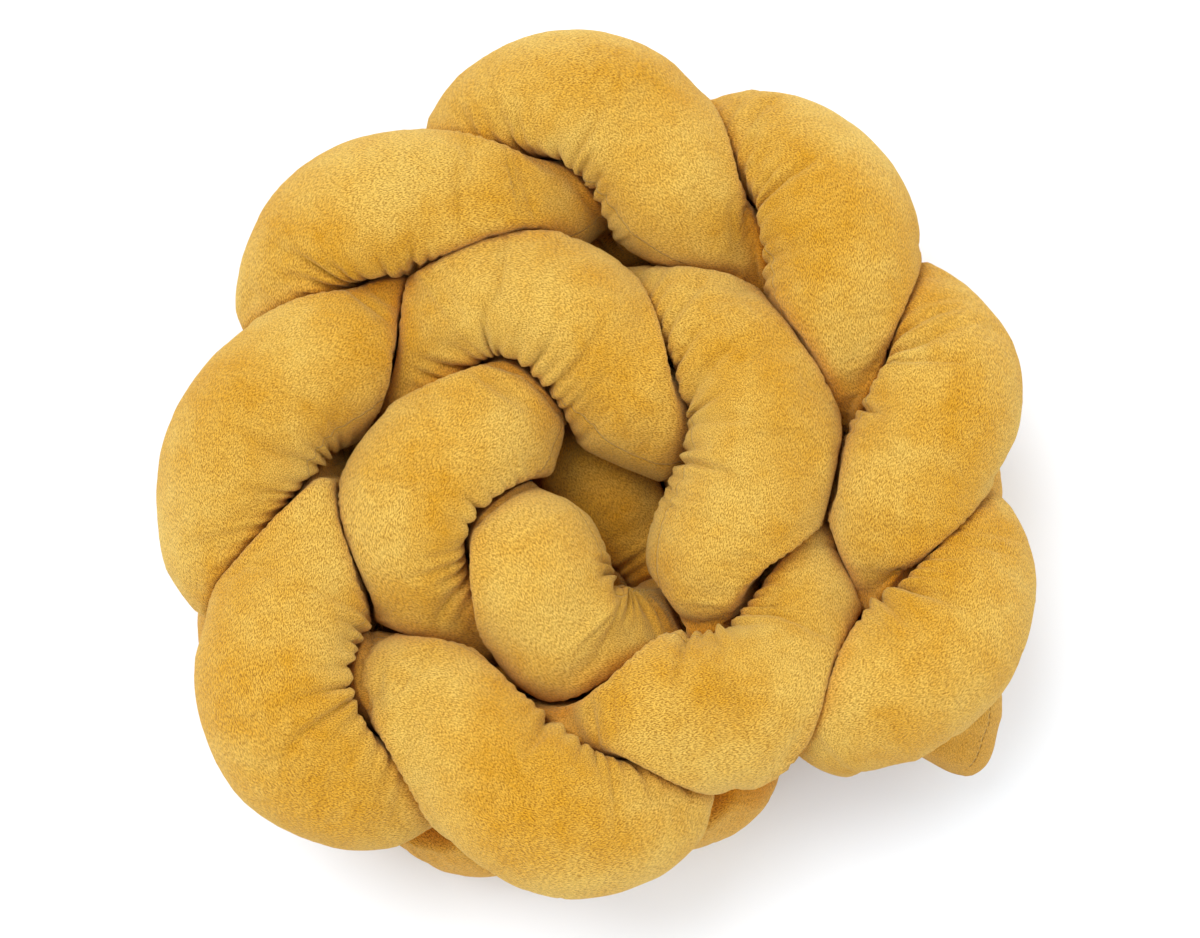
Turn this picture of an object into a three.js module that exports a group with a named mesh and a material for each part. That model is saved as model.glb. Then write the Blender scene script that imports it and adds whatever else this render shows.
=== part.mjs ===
// Knot crib bumper: three stuffed plush tubes, plaited and wound into a coil that stands on its edge.
import * as THREE from "three";

// Driving dimensions, in millimetres.
const tubeRadius = 50; // a tube where nothing presses on it
const fullestRadius = 56; // a tube that bulges beside a place where it is pressed
const leastRadius = 2; // a tube pinched flat in a tight fold
const midHeight = 98; // height of the plait's middle line above the floor
const touchGap = 1.8; // clear space left between two tubes that press on each other
const endTaper = 60; // length over which a tube draws in to its sewn end
const seamThickness = 8; // a sewn end, across its seam
const seamWidth = 64; // a sewn end, along its seam

// How the tubes run and how finely they are divided.
const tubeCount = 3;
const swingRoundness = 0.07; // how gently a tube turns at each side of its swing
const cornerPower = 10; // how sharply a tube's wall turns from free to pressed
const ringSides = 16;
const ringsPerLoop = 11;
const pointsPerRing = 4; // points on a tube's middle line for each of its rings

// One row for each loop that shows along the top edge, from the middle of the coil out to its free end,
// with the rows before the first and after the last where the plait runs on to its sewn ends.
// x and y: where the plait's middle line lies under the loop, in plan.
// reach: how far the tubes swing to each side there. lift: how far they swing above and below the mid height.
// lean: how far the bottom loops sit in towards the coil's middle. sink: how far the plait lies under the mid height.
const loops = [
  { name: "inner end", x: -28, y: 22, reach: 0, lift: 45, lean: 0, sink: 22 },
  { name: "inner bend", x: 60, y: -116, reach: 0, lift: 40, lean: 0, sink: 22 },
  { name: "heart", x: -47, y: -113, reach: 26, lift: 50, lean: 0, sink: 0 },
  { name: "inner left", x: -118, y: -24, reach: 28, lift: 55, lean: 0, sink: 0 },
  { name: "inner top", x: -45, y: 96, reach: 28, lift: 55, lean: 4, sink: 0 },
  { name: "inner right", x: 110, y: 0, reach: 29, lift: 55, lean: 8, sink: 0 },
  { name: "lower middle", x: 69, y: -180, reach: 29, lift: 55, lean: 12, sink: 0 },
  { name: "bottom", x: -71, y: -218, reach: 28, lift: 55, lean: 14, sink: 0 },
  { name: "bottom left", x: -213, y: -137, reach: 26, lift: 55, lean: 14, sink: 0 },
  { name: "left", x: -213, y: 32, reach: 26, lift: 55, lean: 14, sink: 0 },
  { name: "top left", x: -126, y: 158, reach: 26, lift: 55, lean: 14, sink: 0 },
  { name: "top", x: 17, y: 212, reach: 26, lift: 55, lean: 14, sink: 0 },
  { name: "top right", x: 157, y: 120, reach: 26, lift: 55, lean: 14, sink: 0 },
  { name: "right", x: 210, y: 0, reach: 26, lift: 55, lean: 14, sink: 0 },
  { name: "free end", x: 190, y: -157, reach: 26, lift: 50, lean: 14, sink: 0 },
  { name: "outer end", x: 105, y: -248, reach: 26, lift: 40, lean: 14, sink: 0 },
];
const rowsBefore = 2; // rows ahead of loop 0, the first that shows

// Where each tube starts and stops, counted in loops: tube n tops the plait at loops n, n + 3, n + 6...
// stray: how far its free end has slipped out of the plait, to the coil's outer side.
const tubes = [
  { name: "tube_first", starts: -1.95, stops: 12.6, stray: 0 },
  { name: "tube_second", starts: -0.5, stops: 12, stray: 0 },
  { name: "tube_third", starts: -0.3, stops: 12.15, stray: 30 },
];
const strayLength = 1; // loops over which a free end slips out

// The plait's middle line, in plan.
const middleLine = new THREE.CatmullRomCurve3(loops.map(({ x, y }) => new THREE.Vector3(x, y, 0)));

function onMiddleLine(place) {
  return middleLine.getPoint((place + rowsBefore) / (loops.length - 1));
}

function outwardAt(place) {
  const nudge = 0.01;
  const along = onMiddleLine(place + nudge).sub(onMiddleLine(place - nudge)).normalize();
  return new THREE.Vector3(-along.y, along.x, 0);
}

function blendColumn(column, place) {
  const low = THREE.MathUtils.clamp(Math.floor(place + rowsBefore), 0, loops.length - 2);
  const share = THREE.MathUtils.clamp(place + rowsBefore - low, 0, 1);
  return THREE.MathUtils.lerp(loops[low][column], loops[low + 1][column], share);
}

// A tube's middle at a place along the plait: over the top from the coil's outer side to its inner side,
// back through the middle, and under the bottom the same way.
function tubeMiddle(tube, place) {
  const { stops, stray } = tubes[tube];
  const phase = (2 * Math.PI * (place - tube)) / tubeCount;
  const swing = Math.sin(2 * phase) + swingRoundness * Math.sin(6 * phase);
  const tuck = (blendColumn("lean", place) * (1 - Math.cos(phase))) / 2;
  const slip = stray * THREE.MathUtils.smoothstep(place, stops - strayLength, stops);
  const side = slip - tuck - blendColumn("reach", place) * swing;
  const rise = blendColumn("lift", place) * Math.cos(phase) - blendColumn("sink", place);
  return onMiddleLine(place).addScaledVector(outwardAt(place), side).setZ(midHeight + rise);
}

function makeLine({ starts, stops }, tube) {
  const steps = Math.round((stops - starts) * ringsPerLoop) * pointsPerRing;
  const points = [];
  for (let step = 0; step <= steps; step++) {
    points.push(tubeMiddle(tube, THREE.MathUtils.lerp(starts, stops, step / steps)));
  }
  return points;
}
const lines = tubes.map(makeLine);

// The section across a tube at a point of its middle line: its upward and its inward directions.
function sectionFrame(line, index) {
  const before = line[Math.max(index - pointsPerRing, 0)];
  const after = line[Math.min(index + pointsPerRing, line.length - 1)];
  const along = after.clone().sub(before).normalize();
  const up = new THREE.Vector3(0, 0, 1).addScaledVector(along, -along.z).normalize();
  return { up, inward: along.cross(up) };
}

// How far a tube can spread from its middle before it meets the plane half way to another tube,
// or half way to a further part of itself.
function roomTowards(tube, index, side) {
  const middle = lines[tube][index];
  const { up, inward } = sectionFrame(lines[tube], index);
  const angle = (2 * Math.PI * side) / ringSides;
  const direction = up.multiplyScalar(Math.cos(angle)).addScaledVector(inward, Math.sin(angle));
  const offset = new THREE.Vector3();
  let room = Infinity;
  lines.forEach((line, other) => {
    line.forEach((point, place) => {
      if (other === tube && Math.abs(place - index) <= pointsPerRing) return;
      const facing = offset.subVectors(point, middle).dot(direction);
      if (facing > 0) room = Math.min(room, offset.lengthSq() / (2 * facing));
    });
  });
  return Math.max(room - touchGap / 2, leastRadius);
}

function pressedRadius(free, room) {
  return (free ** -cornerPower + room ** -cornerPower) ** (-1 / cornerPower);
}

function sectionArea(radii) {
  const wedge = Math.sin((2 * Math.PI) / ringSides) / 2;
  return radii.reduce((sum, radius, side) => sum + wedge * radius * radii[(side + 1) % ringSides], 0);
}

// The wall's distance from the tube's middle all round one ring.
// A pressed ring bulges where it is free, to hold its filling.
function ringRadii(tube, ring) {
  const last = lines[tube].length - 1;
  const near = [-1, 0, 1].map((step) => THREE.MathUtils.clamp(ring * pointsPerRing + step, 0, last));
  const rooms = [];
  for (let side = 0; side < ringSides; side++) {
    rooms.push(Math.min(...near.map((index) => roomTowards(tube, index, side))));
  }
  const bulgeStep = 0.5;
  const fullArea = sectionArea(new Array(ringSides).fill(tubeRadius));
  let free = tubeRadius;
  let radii = rooms.map((room) => pressedRadius(free, room));
  while (sectionArea(radii) < fullArea && free < fullestRadius) {
    free += bulgeStep;
    radii = rooms.map((room) => pressedRadius(free, room));
  }
  return radii;
}

// A straight tube with closed ends, bent along its line, pressed by its neighbours and standing on the floor.
function makeTube(tube) {
  const line = lines[tube];
  const rings = (line.length - 1) / pointsPerRing;
  const geometry = new THREE.CylinderGeometry(1, 1, 1, ringSides, rings);
  const wall = Array.from({ length: rings + 1 }, (_, ring) => ringRadii(tube, ring));
  const position = geometry.getAttribute("position");
  for (let index = 0; index < position.count; index++) {
    const ring = Math.round((position.getY(index) + 0.5) * rings);
    const middle = line[ring * pointsPerRing];
    const { up, inward } = sectionFrame(line, ring * pointsPerRing);
    const spread = Math.hypot(position.getX(index), position.getZ(index));
    const angle = Math.atan2(position.getX(index), position.getZ(index));
    const side = Math.round((angle * ringSides) / (2 * Math.PI) + ringSides) % ringSides;
    const radius = spread * wall[ring][side];
    const toEnd = Math.min(middle.distanceTo(line[0]), middle.distanceTo(line.at(-1)));
    const drawn = Math.sqrt(1 - (1 - Math.min(toEnd / endTaper, 1)) ** 2);
    const thick = THREE.MathUtils.lerp(seamThickness / 2 / tubeRadius, 1, drawn);
    const wide = THREE.MathUtils.lerp(seamWidth / 2 / tubeRadius, 1, drawn);
    const point = middle.clone();
    point.addScaledVector(up, radius * Math.cos(angle) * thick);
    point.addScaledVector(inward, radius * Math.sin(angle) * wide);
    position.setXYZ(index, point.x, point.y, Math.max(point.z, 0));
  }
  return geometry;
}

const plush = new THREE.MeshStandardMaterial({ color: 0xe0a63c, roughness: 0.95, metalness: 0 });

const bumper = new THREE.Group();
tubes.forEach(({ name }, tube) => {
  const mesh = new THREE.Mesh(makeTube(tube), plush);
  mesh.name = name;
  bumper.add(mesh);
});

// The part's origin is on the floor, at the middle of the coil's outline.
const centre = new THREE.Box3().setFromObject(bumper).getCenter(new THREE.Vector3());
bumper.children.forEach((mesh) => {
  mesh.geometry.translate(-centre.x, -centre.y, 0);
  mesh.geometry.computeVertexNormals();
});

export default bumper;
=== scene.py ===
import math

import bmesh
import bpy
import numpy as np
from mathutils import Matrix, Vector
from mathutils.bvhtree import BVHTree


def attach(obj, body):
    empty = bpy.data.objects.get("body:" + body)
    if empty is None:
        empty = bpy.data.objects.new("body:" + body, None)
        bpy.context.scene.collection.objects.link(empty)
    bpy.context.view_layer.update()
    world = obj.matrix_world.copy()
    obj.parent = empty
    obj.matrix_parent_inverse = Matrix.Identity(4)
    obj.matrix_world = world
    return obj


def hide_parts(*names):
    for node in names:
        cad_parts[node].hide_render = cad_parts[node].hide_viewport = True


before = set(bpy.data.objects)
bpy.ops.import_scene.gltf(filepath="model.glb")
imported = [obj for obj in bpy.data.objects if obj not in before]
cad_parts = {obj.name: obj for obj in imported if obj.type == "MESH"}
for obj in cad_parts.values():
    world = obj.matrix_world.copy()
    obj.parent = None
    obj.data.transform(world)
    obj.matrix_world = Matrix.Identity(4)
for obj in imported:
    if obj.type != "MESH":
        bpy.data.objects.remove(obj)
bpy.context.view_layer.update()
scene = bpy.context.scene
chance = np.random.default_rng(7)

# Lengths are in metres, and angles in radians unless a note says degrees.
tubeNames = ["tube_first", "tube_second", "tube_third"]
ringSides = 16  # sides of a CAD tube
tubeRadius = 0.05  # a tube where nothing presses on it
leastRadius = 0.002  # a tube pinched flat
fullTurn = 2 * math.pi
girth = fullTurn * tubeRadius
upward = np.array([0, 0, 1])


def neighbours(vertex):
    return {edge.other_vert(vertex) for edge in vertex.link_edges}


# A CAD tube's rings in order along it, each ring's vertices in order round it.
def readRings(work):
    tips = [vertex for vertex in work.verts if len(vertex.link_edges) == ringSides]
    start = min(tips, key=lambda vertex: vertex.co.xy.length)
    around = neighbours(start)
    ring = [max(around, key=lambda vertex: vertex.co.z)]
    while len(ring) < ringSides:
        beside = [vertex for vertex in neighbours(ring[-1]) if vertex in around and vertex not in ring]
        ring.append(min(beside, key=lambda vertex: vertex.index))
    rings = [ring]
    seen = {start, *ring}
    while True:
        ahead = {other for vertex in ring for other in neighbours(vertex)} - seen
        if len(ahead) < ringSides:
            return rings, start
        found = []
        for side, vertex in enumerate(ring):
            beside = ring[(side + 1) % ringSides]
            found.append((neighbours(vertex) & neighbours(beside) & ahead).pop())
        turned = found[-1:] + found[:-1]
        stray = [sum((a.co - b.co).length for a, b in zip(ring, order)) for order in (found, turned)]
        ring = found if stray[0] < stray[1] else turned
        rings.append(ring)
        seen.update(ring)


# A line through given rows, smooth, with extra rows between them.
def smoothRows(rows, extra):
    padded = np.concatenate([2 * rows[:1] - rows[1:2], rows, 2 * rows[-1:] - rows[-2:-1]])
    a, b, c, d = padded[:-3], padded[1:-2], padded[2:-1], padded[3:]
    made = []
    for share in np.arange(extra) / extra:
        bend = 2 * a - 5 * b + 4 * c - d + share * (3 * b - a - 3 * c + d)
        made.append(b + 0.5 * share * (c - a + share * bend))
    return np.concatenate([np.stack(made, axis=1).reshape(-1, rows.shape[1]), rows[-1:]])


# A tube's middle line: in each ring, the point where lines between opposite wall points cross.
def readMiddles(walls):
    half = ringSides // 2
    floorHeight = 1e-5  # a wall point this low is pressed flat on the floor
    middles = []
    for ring in walls:
        near, far = ring[:half], ring[half:]
        way = (far - near) / np.linalg.norm(far - near, axis=1)[:, None]
        across = np.eye(3) - way[:, :, None] * way[:, None, :]
        across[(near[:, 2] < floorHeight) | (far[:, 2] < floorHeight)] = 0
        middles.append(np.linalg.solve(across.sum(axis=0), (across @ near[:, :, None]).sum(axis=0)[:, 0]))
    return np.array(middles)


# Rows evened out along a line, less and less towards its ends.
def evenOut(rows, length, reach):
    reach = np.minimum(reach, np.minimum(length, length[-1] - length) / 3 + 1e-4)[:, None]
    weight = np.exp(-(((length[:, None] - length) / reach) ** 2) / 2)
    return np.tensordot(weight / weight.sum(axis=1, keepdims=True), rows, axes=1)


def distances(line):
    return np.concatenate([[0.0], np.cumsum(np.linalg.norm(np.diff(line, axis=0), axis=1))])


def unit(rows):
    return rows / np.linalg.norm(rows, axis=-1, keepdims=True)


# Angles brought to within half a turn of 0.
def halfTurns(angle):
    return (angle + math.pi) % fullTurn - math.pi


# A hump 1 high at a place, which dies away over a distance.
def hump(value, place, over):
    return np.exp(-(((value - place) / over) ** 2))


# The section across a tube at each point of its middle line: along, upward and sideways.
def section(line, reach):
    ahead = np.concatenate([line[reach:], np.repeat(line[-1:], reach, axis=0)])
    behind = np.concatenate([np.repeat(line[:1], reach, axis=0), line[:-reach]])
    way = unit(ahead - behind)
    up = unit(upward - way * way[:, 2:])
    return way, up, np.cross(way, up)


# The area of each ring, from its wall's distances all round.
def ringArea(radii):
    sides = radii.shape[1]
    return (radii * np.roll(radii, 1, axis=1)).sum(axis=1) * math.sin(fullTurn / sides) / 2


# Lays the UV map, in metres: along the tube, with 0 at its outer end, and round it from its upper side.
def layCloth(work, place, start, along):
    cloth = work.loops.layers.uv.new("cloth")
    for face in work.faces:
        corners = [place.get(loop.vert) for loop in face.loops]
        sides = [corner[1] for corner in corners if corner]
        wraps = max(sides) - min(sides) > ringSides / 2
        onward = {side: side + ringSides if wraps and side < ringSides / 2 else side for side in sides}
        middle = sum(onward[side] for side in sides) / len(sides)
        for loop, corner in zip(face.loops, corners):
            if corner:
                loop[cloth].uv = (along[corner[0]], onward[corner[1]] * girth / ringSides)
            else:
                end = along[0] if loop.vert is start else along[-1]
                loop[cloth].uv = (end, middle * girth / ringSides)
        face.smooth = True


# The CAD tube as a clean skin of quads, side 0 uppermost.
def makeSkin(node):
    work = bmesh.new()
    work.from_mesh(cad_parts[node].data)
    bmesh.ops.remove_doubles(work, verts=work.verts, dist=1e-6)
    work.verts.index_update()
    rings, start = readRings(work)
    walls = np.array([[vertex.co for vertex in ring] for ring in rings])
    middles = readMiddles(walls)
    half = len(rings) // 2
    _, up, sideways = section(middles, 1)
    across = walls[half] - middles[half]
    turns = np.arctan2(across @ sideways[half], across @ up[half]) * ringSides / fullTurn
    order = np.argsort(np.rint(turns).astype(int) % ringSides)
    walls = walls[:, order]
    place = {}
    for index, ring in enumerate(rings):
        for side, corner in enumerate(order):
            place[ring[corner]] = (index, side)
    along = distances(middles)
    along = along - along[-1]
    diagonals = []
    for edge in work.edges:
        a, b = (place.get(vertex) for vertex in edge.verts)
        if a and b and a[0] != b[0] and a[1] != b[1]:
            diagonals.append(edge)
    bmesh.ops.dissolve_edges(work, edges=diagonals, use_verts=False)
    layCloth(work, place, start, along)
    mesh = bpy.data.meshes.new(node + "_skin")
    work.to_mesh(mesh)
    work.free()
    radii = np.linalg.norm(walls - middles[:, None], axis=2)
    return mesh, {"along": along, "middles": middles, "area": ringArea(radii)}


def linkPiece(name, data):
    piece = bpy.data.objects.new(name, data)
    scene.collection.objects.link(piece)
    return piece


def coordinates(mesh):
    flat = np.empty(len(mesh.vertices) * 3)
    mesh.vertices.foreach_get("co", flat)
    return flat.reshape(-1, 3)


# Moves a piece's points, none below the floor.
def movePoints(piece, points):
    points[:, 2] = np.maximum(points[:, 2], 0)
    piece.data.vertices.foreach_set("co", points.ravel())
    piece.data.update()


# Each vertex's place on the cloth: metres along the tube and metres round it.
def clothPlaces(mesh):
    corners = np.empty(len(mesh.loops), dtype=int)
    mesh.loops.foreach_get("vertex_index", corners)
    flat = np.empty(len(mesh.loops) * 2)
    mesh.uv_layers["cloth"].data.foreach_get("uv", flat)
    places = np.zeros((len(mesh.vertices), 2))
    places[corners] = flat.reshape(-1, 2)
    return places


# Skins, divided finer all over and then once more along the tube.
finer = {"rings": 8, "sides": 64, "levels": 2}  # rings for each CAD ring, and points round a ring


def refine(piece):
    divide = piece.modifiers.new("divide", "SUBSURF")
    divide.levels = divide.render_levels = finer["levels"]
    divide.uv_smooth = "NONE"
    graph = bpy.context.evaluated_depsgraph_get()
    mesh = bpy.data.meshes.new_from_object(piece.evaluated_get(graph), depsgraph=graph)
    piece.modifiers.clear()
    piece.data = mesh
    work = bmesh.new()
    work.from_mesh(mesh)
    cloth = work.loops.layers.uv["cloth"]
    lengthwise = []
    for edge in work.edges:
        loop = edge.link_loops[0]
        if abs(loop[cloth].uv.x - loop.link_loop_next[cloth].uv.x) > 1e-5:
            lengthwise.append(edge)
    bmesh.ops.subdivide_edges(work, edges=lengthwise, cuts=1)
    work.to_mesh(mesh)
    work.free()


# A tube's middle line: eased, steeper between the plait's top and bottom, and slipped here and there.
plait = {
    "middle": 0.098,  # height of the plait's middle line
    "lift": 0.055,  # how far a tube swings above and below it
    "steep": 0.75,  # under 1, a tube stays longer at the top and bottom of its swing
    "ease": 0.028,  # length over which the line is evened out
    "keep": 0.6,  # share of its swing that is then given back
}

# Where a tube has slipped from its even path, by how much, and how far along the tube that reaches.
slips = [
    {"tube": "tube_first", "at": (-0.014, 0.021, 0.048), "by": (-0.005, 0.006, 0.004), "reach": 0.035},
    {"tube": "tube_first", "at": (-0.005, 0.005, 0.045), "by": (-0.009, 0.010, 0.010), "reach": 0.075},
    {"tube": "tube_first", "at": (0.048, 0.102, 0.120), "by": (0.004, -0.012, -0.004), "reach": 0.050},
    {"tube": "tube_first", "at": (-0.062, 0.213, 0.125), "by": (-0.005, 0.004, 0.0), "reach": 0.055},
    {"tube": "tube_first", "at": (-0.160, -0.190, 0.135), "by": (-0.004, -0.007, 0.0), "reach": 0.060},
    {"tube": "tube_second", "at": (-0.185, 0.075, 0.140), "by": (-0.005, 0.002, 0.0), "reach": 0.050},
    {"tube": "tube_third", "at": (-0.160, 0.135, 0.140), "by": (-0.004, 0.002, 0.0), "reach": 0.060},
    {"tube": "tube_second", "at": (-0.232, -0.060, 0.125), "by": (0.005, 0.002, 0.0), "reach": 0.045},
    {"tube": "tube_third", "at": (-0.137, -0.160, 0.126), "by": (-0.009, 0.0, 0.0), "reach": 0.045},
    {"tube": "tube_first", "at": (0.100, 0.050, 0.145), "by": (-0.008, -0.007, 0.0), "reach": 0.060},
    {"tube": "tube_second", "at": (0.139, -0.079, 0.125), "by": (-0.012, 0.002, 0.0), "reach": 0.050},
    {"tube": "tube_first", "at": (-0.020, -0.105, 0.145), "by": (0.006, 0.003, 0.0), "reach": 0.040},
    {"tube": "tube_first", "at": (0.010, -0.010, 0.050), "by": (0.0, 0.0, 0.016), "reach": 0.070},
    {"tube": "tube_second", "at": (0.186, 0.042, 0.112), "by": (0.0, 0.0, -0.012), "reach": 0.035},
    {"tube": "tube_third", "at": (0.199, -0.094, 0.112), "by": (0.0, 0.0, -0.008), "reach": 0.035},
    {"tube": "tube_first", "at": (-0.190, -0.025, 0.112), "by": (0.0, 0.0, -0.010), "reach": 0.035},
]

# The loops of the plait that each tube runs through, counted from the heart of the coil.
runs = {"tube_first": (-1.95, 12.6), "tube_second": (-0.5, 12.0), "tube_third": (-0.3, 12.15)}


def layMiddle(node, line):
    spine = smoothRows(line["middles"], finer["rings"])
    eased = evenOut(spine, distances(spine), plait["ease"])
    spine = eased + plait["keep"] * (eased - evenOut(eased, distances(eased), plait["ease"]))
    share = np.clip((spine[:, 2] - plait["middle"]) / plait["lift"], -1, 1)
    spine[:, 2] += plait["lift"] * (np.sign(share) * np.abs(share) ** plait["steep"] - share)
    even = spine.copy()
    for slip in slips:
        if slip["tube"] == node:
            far = np.linalg.norm(spine - np.array(slip["at"]), axis=1)
            spine = spine + hump(far, 0, slip["reach"])[:, None] * np.array(slip["by"])
    line["spine"] = spine
    line["slipped"] = spine - even
    line["way"], line["up"], line["side"] = section(spine, finer["rings"])
    line["loop"] = np.linspace(*runs[node], len(spine))
    line["length"] = distances(spine)
    curve = np.gradient(line["way"], axis=0) / np.gradient(line["length"])[:, None]
    line["bend"] = (curve * line["side"]).sum(axis=1)
    line["toEnd"] = np.minimum(line["length"], line["length"][-1] - line["length"])


pieces, rests, lines = {}, {}, {}
for node in tubeNames:
    skin, lines[node] = makeSkin(node)
    layMiddle(node, lines[node])
    pieces[node] = linkPiece("stuffed_" + node, skin)
    refine(pieces[node])
    rests[node] = coordinates(pieces[node].data)
    print("skin", node, len(rests[node]), "points", len(pieces[node].data.polygons), "faces")

# Each tube spreads until it meets a plane half way to another tube, or to a further part of itself.
# Its filling sets how far it spreads where it is free.
pressed = {
    "gap": 0.0012,  # between two tubes that press on each other
    "lean": math.radians(4),  # the plane leans, so that a rising tube lies over a falling one
    "quick": 1.6,  # how soon the lean is full as the two slopes differ
    "reach": 0.125,  # tubes further away than this don't press
    "corner": 14,  # how sharply a wall turns from free to pressed
    "touch": 0.051,  # with less room than this, two tubes of one turn of the coil touch
    "soften": 0.006,  # how gradually that starts, in room and along the tube
    "clear": 0.0003,  # left between tubes that touch
    "apart": 0.003,  # left to the next turn of the coil
    "oneTurn": 2.5,  # loops further along than this are another turn of the coil
}
frees = np.linspace(0.040, 0.058, 73)  # radii that are tried for a ring's free stretch
fold = {"share": 0.05, "from": 0.075, "over": 0.02}  # fuller beside a contact
waist = {"share": 0.16, "height": 0.082, "over": 0.022}  # drawn in through the plait's middle
puff = {"share": 0.05, "height": 0.132, "over": 0.018}  # swollen above it
creviceShadeRoom = {"from": 0.060, "over": 0.012, "even": 0.006}  # room at which the painted crevice shade starts

# On the inner side of a bend the spare cloth fills out, and the cover bridges small dips.
bulge = {
    "most": 0.16,  # share of the radius
    "from": 0.15,  # bends at which it starts and is full
    "to": 0.7,
    "round": math.radians(62),  # its middle, from the tube's upper side
    "width": math.radians(42),
    "even": 0.02,  # length over which the bend is evened out
    "bridge": 0.03,  # length over which a dip is bridged
    "turns": 3,
}

angles = np.arange(finer["sides"]) * fullTurn / finer["sides"]
turned = halfTurns(angles)
skip = 2  # every second point of the middle lines is enough for the planes
others = {
    "at": np.concatenate([lines[node]["spine"][::skip] for node in tubeNames]),
    "slope": np.concatenate([lines[node]["way"][::skip, 2] for node in tubeNames]),
    "loop": np.concatenate([lines[node]["loop"][::skip] for node in tubeNames]),
    "step": np.concatenate([np.arange(len(lines[node]["spine"]))[::skip] for node in tubeNames]),
    "tube": np.repeat(np.arange(len(tubeNames)), [len(lines[node]["spine"][::skip]) for node in tubeNames]),
}


# How far one ring can spread each way, and the loop of the plait that it meets there.
def roomAround(number, line, index):
    offset = others["at"] - line["spine"][index]
    own = (others["tube"] == number) & (np.abs(others["step"] - index) <= finer["rings"])
    near = (np.linalg.norm(offset, axis=1) < pressed["reach"]) & ~own
    offset = offset[near]
    straight = unit(offset)
    steeper = line["way"][index, 2] - others["slope"][near]
    lean = pressed["lean"] * np.clip(steeper * pressed["quick"], -1, 1)[:, None]
    plane = straight * np.cos(lean) - (upward - straight * straight[:, 2:]) * np.sin(lean)
    facing = line["directions"][index] @ plane.T
    halves = np.where(facing > 1e-6, (offset * plane).sum(axis=1) / (2 * np.maximum(facing, 1e-6)), 1.0)
    room = np.maximum(halves.min(axis=1) - pressed["gap"] / 2, leastRadius)
    return room, others["loop"][near][halves.argmin(axis=1)]


# The wall's distance from the middle all round one ring, for the area that its filling takes up.
def spreadRing(area, fuller, room):
    free = frees[:, None] * fuller * (1 + fold["share"] * np.clip((fold["from"] - room) / fold["over"], 0, 1))
    options = (free ** -pressed["corner"] + room ** -pressed["corner"]) ** (-1 / pressed["corner"])
    return options[np.argmin(np.abs(ringArea(options) - area))]


def pressTube(number, line):
    spine, length = line["spine"], line["length"]
    sideways = evenOut(line["bend"], length, bulge["even"]) * tubeRadius
    amount = np.clip((np.abs(sideways) - bulge["from"]) / (bulge["to"] - bulge["from"]), 0, 1) * bulge["most"]
    away = halfTurns(angles[None] - (np.sign(sideways) * bulge["round"])[:, None])
    fuller = 1 + amount[:, None] * hump(away, 0, bulge["width"])
    area = np.interp(np.arange(len(spine)) / finer["rings"], np.arange(len(line["area"])), line["area"])
    area = area * (1 - waist["share"] * hump(spine[:, 2], waist["height"], waist["over"]))
    area = area * (1 + puff["share"] * hump(spine[:, 2], puff["height"], puff["over"]))
    tall = np.cos(angles)[:, None] * line["up"][:, None]
    wide = np.sin(angles)[:, None] * line["side"][:, None]
    line["directions"] = tall + wide
    spread, rooms, oneTurn = [], [], []
    for index in range(len(spine)):
        room, meets = roomAround(number, line, index)
        rooms.append(room)
        spread.append(spreadRing(area[index], fuller[index], room))
        oneTurn.append(np.abs(line["loop"][index] - meets) < pressed["oneTurn"])
    spread, rooms = np.array(spread), np.array(rooms)
    oneTurn = evenOut(np.array(oneTurn, dtype=float), length, pressed["soften"])
    for turn in range(bulge["turns"]):
        wall = spine[:, None] + line["directions"] * spread[:, :, None]
        bridged = evenOut(wall, length, bulge["bridge"]) - spine[:, None]
        spread = np.maximum(spread, np.minimum((bridged * line["directions"]).sum(axis=2), rooms))
    line["touching"] = np.clip((pressed["touch"] - rooms) / pressed["soften"], 0, 1) * oneTurn
    spread = np.minimum(spread, rooms - pressed["apart"] * (1 - oneTurn))
    spread = spread + line["touching"] * np.maximum(rooms - pressed["clear"] - spread, 0)
    line["spread"], line["rooms"] = np.maximum(spread, leastRadius), rooms
    # painted shade: how closely another tube presses on each point, to deepen the colour in the crevices
    crowded = np.clip((creviceShadeRoom["from"] - rooms) / creviceShadeRoom["over"], 0, 1)
    line["crowded"] = evenOut(crowded, length, creviceShadeRoom["even"])
    return line["spread"].max()


for number, node in enumerate(tubeNames):
    widest = pressTube(number, lines[node])
    print("pressed", node, round(float(widest) * 1000, 1), "mm from its middle at most")

# A slow, uneven swell over a tube, between about -1 and 1, made of waves round it and along it.
waves = {"round": (0, 1, 2, 3), "along": (0.6, 1.0, 1.7), "scale": 7}


def swell(along, angle, length):
    total = 0
    for turns in waves["round"]:
        for share in waves["along"]:
            start = chance.uniform(0, fullTurn)
            total = total + np.sin(along * fullTurn * share / length + turns * angle + start)
    return total / waves["scale"]


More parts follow.
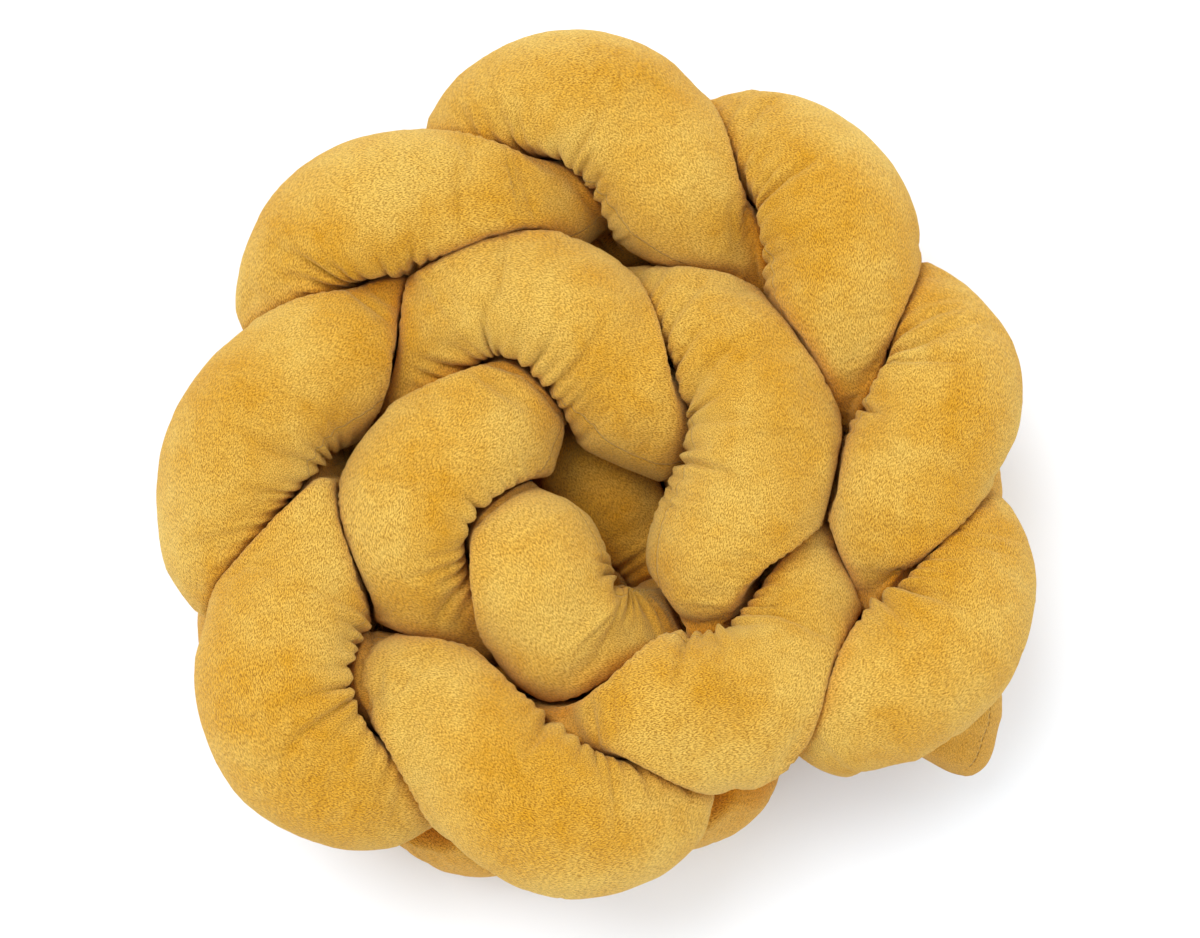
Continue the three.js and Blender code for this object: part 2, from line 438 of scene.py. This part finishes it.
# Where a bend leaves spare cloth on its inner side, it gathers into short tucks across the bend,
# drawn in at the edge where the tube meets the next one.
tuck = {
    "sides": ((1, 1.0), (-1, 0.06)),  # the coil's inner and outer sides, with how much each gathers
    "apart": 0.0098,  # from one tuck to the next, along the edge
    "deep": 0.008,
    "half": 0.5,  # half a tuck's width, as a share of the way to the next
    "sharp": 1.6,  # over 1, a tuck narrows towards its bottom
    "uneven": ((0.5, 0.12), (0.25, 0.05)),  # how far the tucks wander, in tucks, and over what length
    "shares": (0.35, 1.15),  # a tuck's depth, as a share
    "lengths": (math.radians(30), math.radians(84)),  # how far round the tube a tuck runs
    "shorter": 1.5,  # over 1, more of the tucks are short
    "taper": 0.8,  # under 1, a tuck stays deep for longer
    "past": 0.3,  # the angle over which a tuck fades, past the edge
    "gone": 1.8,  # and where it is gone, in such angles
    "touch": 0.0515,  # room at the edge
    "edge": (0.2, math.radians(78)),  # the angles between which the edge may lie
    "evenEdge": 0.008,  # lengths over which the edge and the bend are evened out
    "bend": (-0.05, 0.12),  # bends at which tucks start and are full
    "evenBend": 0.045,
    "rise": 0.4,  # slope of a rising tube at which tucks are full
    "plainEnd": 0.05,  # a tube's end has none
    "startOver": 0.06,
    "hold": 0.006,  # room to swell where there is no tuck
}
lump = {"deep": (0.0008, 0.0003), "long": (0.09, 0.03)}  # a soft unevenness all over


def gatherSide(line, along, sign, most):
    inner = sign * turned
    order = np.argsort(inner)
    least, free = tuck["edge"]
    meets = np.where((line["rooms"] < tuck["touch"]) & (inner > least) & (inner < free), inner, free)
    meets = evenOut(meets.min(axis=1), line["length"], tuck["evenEdge"])[:, None]
    rows = zip(meets[:, 0], line["spread"])
    out = np.array([np.interp(meet, inner[order], row[order]) for meet, row in rows])
    edge = line["spine"] + out[:, None] * (np.cos(meets) * line["up"] + sign * np.sin(meets) * line["side"])
    place = distances(edge)[:, None] / tuck["apart"]
    for share, length in tuck["uneven"]:
        place = place + share * swell(along, angles[None], length)
    place = place - place.min()
    shares = chance.uniform(*tuck["shares"], int(place.max()) + 3)
    shortest, longest = tuck["lengths"]
    lengths = shortest + (longest - shortest) * chance.uniform(0, 1, len(shares)) ** tuck["shorter"]
    slack, full = tuck["bend"]
    sideways = evenOut(line["bend"], line["length"], tuck["evenBend"]) * tubeRadius
    strong = np.clip((sign * sideways - slack) / (full - slack), 0, 1)
    strong = np.maximum(strong, np.clip(sign * line["way"][:, 2] / tuck["rise"], 0, 1))[:, None]
    whole = np.floor(place).astype(int)
    past = np.clip(tuck["gone"] - (inner - meets) / tuck["past"], 0, 1)
    deep = 0
    for nearest, off in ((whole, place - whole), (whole + 1, whole + 1 - place)):
        held = np.clip((inner - meets) / lengths[nearest] + 1, 0, 1) ** tuck["taper"] * past
        ridge = np.clip(1 - off / tuck["half"], 0, 1) ** tuck["sharp"]
        deep = deep + most * shares[nearest] * strong * held * ridge
    return deep


def gatherTube(line):
    along = np.repeat(line["length"][:, None], finer["sides"], axis=1)
    deep = sum(gatherSide(line, along, sign, most) for sign, most in tuck["sides"])
    started = np.clip((line["toEnd"][:, None] - tuck["plainEnd"]) / tuck["startOver"], 0, 1)
    deep = deep * tuck["deep"] * started
    lumps = 0
    for high, length in zip(lump["deep"], lump["long"]):
        lumps = lumps + high * (1 + swell(along, angles[None], length))
    line["spread"] = np.maximum(line["spread"] - deep - lumps * (1 - line["touching"]), leastRadius)
    tight = np.maximum(line["spread"] + tuck["hold"] - deep, line["spread"])
    line["rooms"] = np.minimum(line["rooms"], tight)
    return deep.max()


for node in tubeNames:
    print("gathered", node, round(float(gatherTube(lines[node])) * 1000, 1), "mm deep at most")

# Each cover takes its tube's wall, drawn in to its sewn ends, which keep the CAD tube's shape.
ends = {"taper": 0.06, "thick": 0.08, "wide": 0.64, "blend": 0.03}


def shapeCover(piece, line, rest):
    places = clothPlaces(piece.data)
    ring = np.interp(places[:, 0], line["along"], np.arange(len(line["along"]))) * finer["rings"]
    index = np.clip(np.rint(ring).astype(int), 0, len(line["spine"]) - 1)
    side = np.rint(places[:, 1] / girth * finer["sides"]).astype(int) % finer["sides"]
    angle = places[:, 1] / girth * fullTurn
    spine = line["spine"][index]
    toEnd = np.minimum(*(np.linalg.norm(spine - line["spine"][end], axis=1) for end in (0, -1)))
    drawn = np.sqrt(1 - (1 - np.minimum(toEnd / ends["taper"], 1)) ** 2)
    radius = line["spread"][index, side]
    tall = radius * np.cos(angle) * (ends["thick"] + (1 - ends["thick"]) * drawn)
    wide = radius * np.sin(angle) * (ends["wide"] + (1 - ends["wide"]) * drawn)
    wall = spine + line["up"][index] * tall[:, None] + line["side"][index] * wide[:, None]
    wall[:, 2] = np.maximum(wall[:, 2], 0)
    blend = np.clip(toEnd / ends["blend"], 0, 1)[:, None]
    after = (rest + line["slipped"][index]) * (1 - blend) + wall * blend
    line["outward"] = line["directions"][index, side]
    line["beyond"] = np.maximum(line["rooms"][index, side] - radius, 0)
    # the painted crevice shade, kept on the points for the material
    crowded = piece.data.attributes.new("crowded", "FLOAT", "POINT")
    crowded.data.foreach_set("value", line["crowded"][index, side].astype(np.float32))
    movePoints(piece, after)
    return np.linalg.norm(after - rest, axis=1).mean()


for node, piece in pieces.items():
    moved = shapeCover(piece, lines[node], rests[node])
    print("shaped", node, round(float(moved) * 1000, 1), "mm from its CAD wall on average")

# The filling presses the cloth out: a simulation of the stuffed tubes, held to the room that each has.
stuffing = {"pressure": 4.0, "frames": 8, "most": 0.006, "grow": -0.05}  # the cloth may grow a twentieth
weave = {"quality": 4, "mass": 0.2, "stretch": 12, "shear": 5, "bend": 1.0}


def addCloth(piece):
    cover = piece.modifiers.new("cover", "CLOTH")
    cover.settings.quality = weave["quality"]
    cover.settings.mass = weave["mass"]
    cover.settings.tension_stiffness = cover.settings.compression_stiffness = weave["stretch"]
    cover.settings.shear_stiffness = weave["shear"]
    cover.settings.bending_stiffness = weave["bend"]
    cover.settings.shrink_min = stuffing["grow"]
    cover.settings.use_pressure = True
    cover.settings.uniform_pressure_force = stuffing["pressure"]
    cover.settings.effector_weights.gravity = 0
    cover.collision_settings.use_collision = False
    cover.point_cache.frame_end = stuffing["frames"]


for piece in pieces.values():
    addCloth(piece)
for number in range(1, stuffing["frames"] + 1):
    scene.frame_set(number)
graph = bpy.context.evaluated_depsgraph_get()
for node, piece in pieces.items():
    line = lines[node]
    before = coordinates(piece.data)
    pushed = coordinates(piece.evaluated_get(graph).data) - before
    piece.modifiers.clear()
    far = np.linalg.norm(pushed, axis=1, keepdims=True)
    pushed *= np.minimum(1, stuffing["most"] / np.maximum(far, 1e-9))
    out = (pushed * line["outward"]).sum(axis=1)
    pushed -= line["outward"] * np.maximum(out - line["beyond"], 0)[:, None]
    movePoints(piece, before + pushed)
    print("stuffed", node, round(float(far.mean()) * 1000, 1), "mm out on average")
scene.frame_set(1)

# Where two tubes still press into each other, both draw back until they just clear.
parting = {"clear": 0.0005, "search": 0.006, "step": 0.6, "turns": 6}


def drawBack(node, trees):
    after = coordinates(pieces[node].data)
    moved = 0
    for number, place in enumerate(after):
        point = Vector(place)
        for tree in (trees[other] for other in tubeNames if other != node):
            nearest, outward, _, _ = tree.find_nearest(point, parting["search"])
            if nearest is None:
                continue
            short = parting["clear"] - (point - nearest).dot(outward)
            if short > 0:
                after[number] += np.array(outward) * short * parting["step"]
                moved += 1
    movePoints(pieces[node], after)
    return moved


for turn in range(parting["turns"]):
    graph = bpy.context.evaluated_depsgraph_get()
    trees = {node: BVHTree.FromObject(piece, graph) for node, piece in pieces.items()}
    print("parted", sum(drawBack(node, trees) for node in tubeNames), "points")


# A shader value, with operators that add Math nodes.
class Field:
    def __init__(self, tree, socket):
        self.tree = tree
        self.socket = socket

    def node(self, kind, settings, values, output=0):
        made = self.tree.nodes.new(kind)
        for name, value in settings.items():
            setattr(made, name, value)
        for name, value in values.items():
            if isinstance(value, Field):
                self.tree.links.new(value.socket, made.inputs[name])
            else:
                made.inputs[name].default_value = value
        return Field(self.tree, made.outputs[output])

    def maths(self, operation, first, second):
        return self.node("ShaderNodeMath", {"operation": operation}, {0: first, 1: second})

    def __add__(self, other):
        return self.maths("ADD", self, other)

    def __radd__(self, other):
        return self.maths("ADD", other, self)

    def __sub__(self, other):
        return self.maths("SUBTRACT", self, other)

    def __rsub__(self, other):
        return self.maths("SUBTRACT", other, self)

    def __mul__(self, other):
        return self.maths("MULTIPLY", self, other)

    def __rmul__(self, other):
        return self.maths("MULTIPLY", other, self)

    def __abs__(self):
        return self.maths("ABSOLUTE", self, 0.0)

    def fraction(self):
        return self.maths("FRACT", self, 0.0)

    def part(self, axis):
        return self.node("ShaderNodeSeparateXYZ", {}, {0: self}, axis)

    def noise(self, scale, detail, roughness, distortion=0.0):
        values = {"Vector": self, "Scale": scale, "Detail": detail, "Roughness": roughness}
        return self.node("ShaderNodeTexNoise", {}, {**values, "Distortion": distortion})

    def spread(self, low, high):
        return self.node("ShaderNodeMapRange", {}, {"Value": self, "From Min": low, "From Max": high})

    def between(self, dark, light):
        return self.node("ShaderNodeMix", {"data_type": "RGBA"}, {"Factor": self, 6: dark, 7: light}, 2)

    def multiply(self, colour, share):
        settings = {"data_type": "RGBA", "blend_type": "MULTIPLY"}
        return self.node("ShaderNodeMix", settings, {"Factor": share, 6: self, 7: colour}, 2)


# Mustard plush
plush = {
    "ochre": (0.67, 0.338, 0.017, 1),  # brushed one way
    "straw": (0.79, 0.53, 0.115, 1),  # brushed the other way
    "lowShadeColour": (0.66, 0.262, 0.008, 1),  # painted shade, deeper orange low in the plait
    "creviceShadeColour": (0.72, 0.25, 0.004, 1),  # painted shade in the crevices where tubes press on each other
    "root": (0.36, 0.25, 0.1, 1),  # between the hairs
    "drift": (11.0, 3.0, 0.55),  # broad patches: scale, detail and roughness
    "brushed": (75.0, 3.0, 0.6),  # small patches
    "flecks": (1700.0, 2.0, 0.7, 0.3),  # tufts, with a distortion as well
    "stretch": (0.45, 1.0, 1.0),  # how the tufts lie on the cloth
    "turn": (0, 0, 0.6),
    "driftBand": (0.39, 0.61),  # where each kind of patch turns from ochre to straw
    "brushedBand": (0.3, 0.7),
    "driftShare": 0.68,
    "brushedShare": 0.32,
    "tuftBand": (0.4, 0.56),  # from root to tip
    "low": (0.14, 0.08),  # heights between which the painted low shade comes in
    "lowShare": 0.45,
    "creviceShadeShare": 0.75,
    "rootShare": 0.9,
    "bump": 0.85,
    "pileDepth": 0.0012,
    "brushedLift": 0.6,  # a small patch's share in the bump
    "roughness": 0.92,
    "specular": 0.15,
    "sheen": 0.45,
    "sheenRoughness": 0.45,
    "sheenTint": (1.0, 0.8, 0.36, 1),
}
white = (1.0, 1.0, 1.0, 1)

# The seam runs along a tube's inner flank, and wanders a little.
seam = {
    "round": 62 / 360 * girth,
    "width": 0.0011,
    "wander": 0.014,
    "path": {"Scale": 9.0, "Detail": 2.0},
    "thread": (0.2, 0.075, 0.006, 1),
    "share": 0.38,
    "sunk": 1.2,
}

# Sewn by hand after the filling, near a tube's outer end, at so many degrees round it.
closing = {"tube_first": 200, "tube_second": 200, "tube_third": 314}
stitch = {
    "from": -0.05,
    "to": -0.008,
    "fade": 0.003,
    "long": 0.0038,
    "gap": (0.2, 0.45),  # where a stitch comes up, as shares of its length
    "width": 0.00143,
    "wander": 0.006,
    "share": 0.8,
    "sunk": 1.6,
}


def makePlush(node):
    material = bpy.data.materials.new("mustard_plush_" + node)
    material.use_nodes = True
    tree = material.node_tree
    shader = tree.nodes["Principled BSDF"]
    place = Field(tree, tree.nodes.new("ShaderNodeTexCoord").outputs["Object"])
    onCloth = place.node("ShaderNodeUVMap", {"uv_map": "cloth"}, {})
    crowded = place.node("ShaderNodeAttribute", {"attribute_name": "crowded"}, {}, 2)

    # pile: patches brushed both ways, with painted shade (deeper orange) low in the plait and in the crevices
    # where tubes press together, dark between the hairs
    drift = place.noise(*plush["drift"])
    brushed = place.noise(*plush["brushed"])
    lie = {"Vector": onCloth, "Scale": plush["stretch"], "Rotation": plush["turn"]}
    flecks = place.node("ShaderNodeMapping", {}, lie).noise(*plush["flecks"])
    warm = drift.spread(*plush["driftBand"]) * plush["driftShare"]
    warm = warm + brushed.spread(*plush["brushedBand"]) * plush["brushedShare"]
    base = warm.between(plush["ochre"], plush["straw"])
    # painted shade: the colour turns deeper orange low in the plait, where the shade lies deep
    low = place.part("Z").spread(*plush["low"])
    base = (low * plush["lowShare"]).between(base, plush["lowShadeColour"])
    # painted shade: deeper orange in the crevices where another tube presses close
    base = (crowded * plush["creviceShadeShare"]).between(base, plush["creviceShadeColour"])
    tips = flecks.spread(*plush["tuftBand"]).between(plush["root"], white)
    nap = base.multiply(tips, plush["rootShare"])

    # the seam along the tube, and the hand-sewn closing
    along, around = onCloth.part("X"), onCloth.part("Y")
    wander = place.node("ShaderNodeTexNoise", {"noise_dimensions": "1D"}, {"W": along, **seam["path"]})
    line = abs(around - seam["round"] - (wander - 0.5) * seam["wander"]).spread(seam["width"], 0.0)
    beside = around - closing[node] / 360 * girth - (wander - 0.5) * stitch["wander"]
    stitched = abs(beside).spread(stitch["width"], 0.0)
    stitched = stitched * along.spread(stitch["from"], stitch["from"] + stitch["fade"])
    stitched = stitched * along.spread(stitch["to"], stitch["to"] - stitch["fade"])
    stitched = stitched * (along * (1 / stitch["long"])).fraction().spread(*stitch["gap"])

    colour = (line * seam["share"] + stitched * stitch["share"]).between(nap, seam["thread"])
    tree.links.new(colour.socket, shader.inputs["Base Color"])
    height = flecks + brushed * plush["brushedLift"] - line * seam["sunk"] - stitched * stitch["sunk"]
    raised = {"Strength": plush["bump"], "Distance": plush["pileDepth"], "Height": height}
    lift = place.node("ShaderNodeBump", {}, raised)
    tree.links.new(lift.socket, shader.inputs["Normal"])
    shader.inputs["Roughness"].default_value = plush["roughness"]
    shader.inputs["Specular IOR Level"].default_value = plush["specular"]
    shader.inputs["Sheen Weight"].default_value = plush["sheen"]
    shader.inputs["Sheen Roughness"].default_value = plush["sheenRoughness"]
    shader.inputs["Sheen Tint"].default_value = plush["sheenTint"]
    return material


for node, piece in pieces.items():
    piece.data.materials.clear()
    piece.data.materials.append(makePlush(node))
    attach(piece, "root")
    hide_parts(node)
print("plush on", len(pieces), "tubes")

# Floor
paper = {"size": 6.0, "colour": (0.86, 0.9, 0.94, 1), "roughness": 0.9}
work = bmesh.new()
bmesh.ops.create_grid(work, x_segments=1, y_segments=1, size=paper["size"])
sheet = bpy.data.meshes.new("floor")
work.to_mesh(sheet)
work.free()
floor = linkPiece("floor", sheet)
whitePaper = bpy.data.materials.new("white_paper")
whitePaper.use_nodes = True
paperShader = whitePaper.node_tree.nodes["Principled BSDF"]
paperShader.inputs["Base Color"].default_value = paper["colour"]
paperShader.inputs["Roughness"].default_value = paper["roughness"]
sheet.materials.append(whitePaper)

# Light: a soft key from the upper left, a weak fill from the right, and a white room
lamps = [
    {"name": "key", "energy": 1.4, "angle": math.radians(34), "way": (0.4, -0.34, -1)},
    {"name": "fill", "energy": 0.35, "angle": math.radians(60), "way": (-0.9, 0.05, -0.6)},
]
roomLight = 1.14
for lamp in lamps:
    light = bpy.data.lights.new(lamp["name"], "SUN")
    light.energy = lamp["energy"]
    light.angle = lamp["angle"]
    holder = linkPiece(lamp["name"], light)
    holder.rotation_euler = Vector(lamp["way"]).to_track_quat("-Z", "Y").to_euler()
world = bpy.data.worlds.new("studio")
scene.world = world
world.use_nodes = True
world.node_tree.nodes["Background"].inputs["Color"].default_value = white
world.node_tree.nodes["Background"].inputs["Strength"].default_value = roomLight
scene.view_settings.view_transform = "Standard"
print("lit by", len(lamps), "lamps and a white room")

# Camera, looking down on the coil
view = {"aim": (0.004, -0.001, 0.1), "tilt": math.radians(80), "away": 2.0, "sensor": 36}
photo = {"width": 1200, "focal": 2926}  # in the photograph's pixels
toCamera = Vector((0, -math.cos(view["tilt"]), math.sin(view["tilt"])))
lens = bpy.data.cameras.new("photo")
lens.sensor_width = view["sensor"]
lens.lens = view["sensor"] * photo["focal"] / photo["width"]
camera = linkPiece("photo", lens)
camera.location = Vector(view["aim"]) + toCamera * view["away"]
camera.rotation_euler = (-toCamera).to_track_quat("-Z", "Y").to_euler()
scene.camera = camera
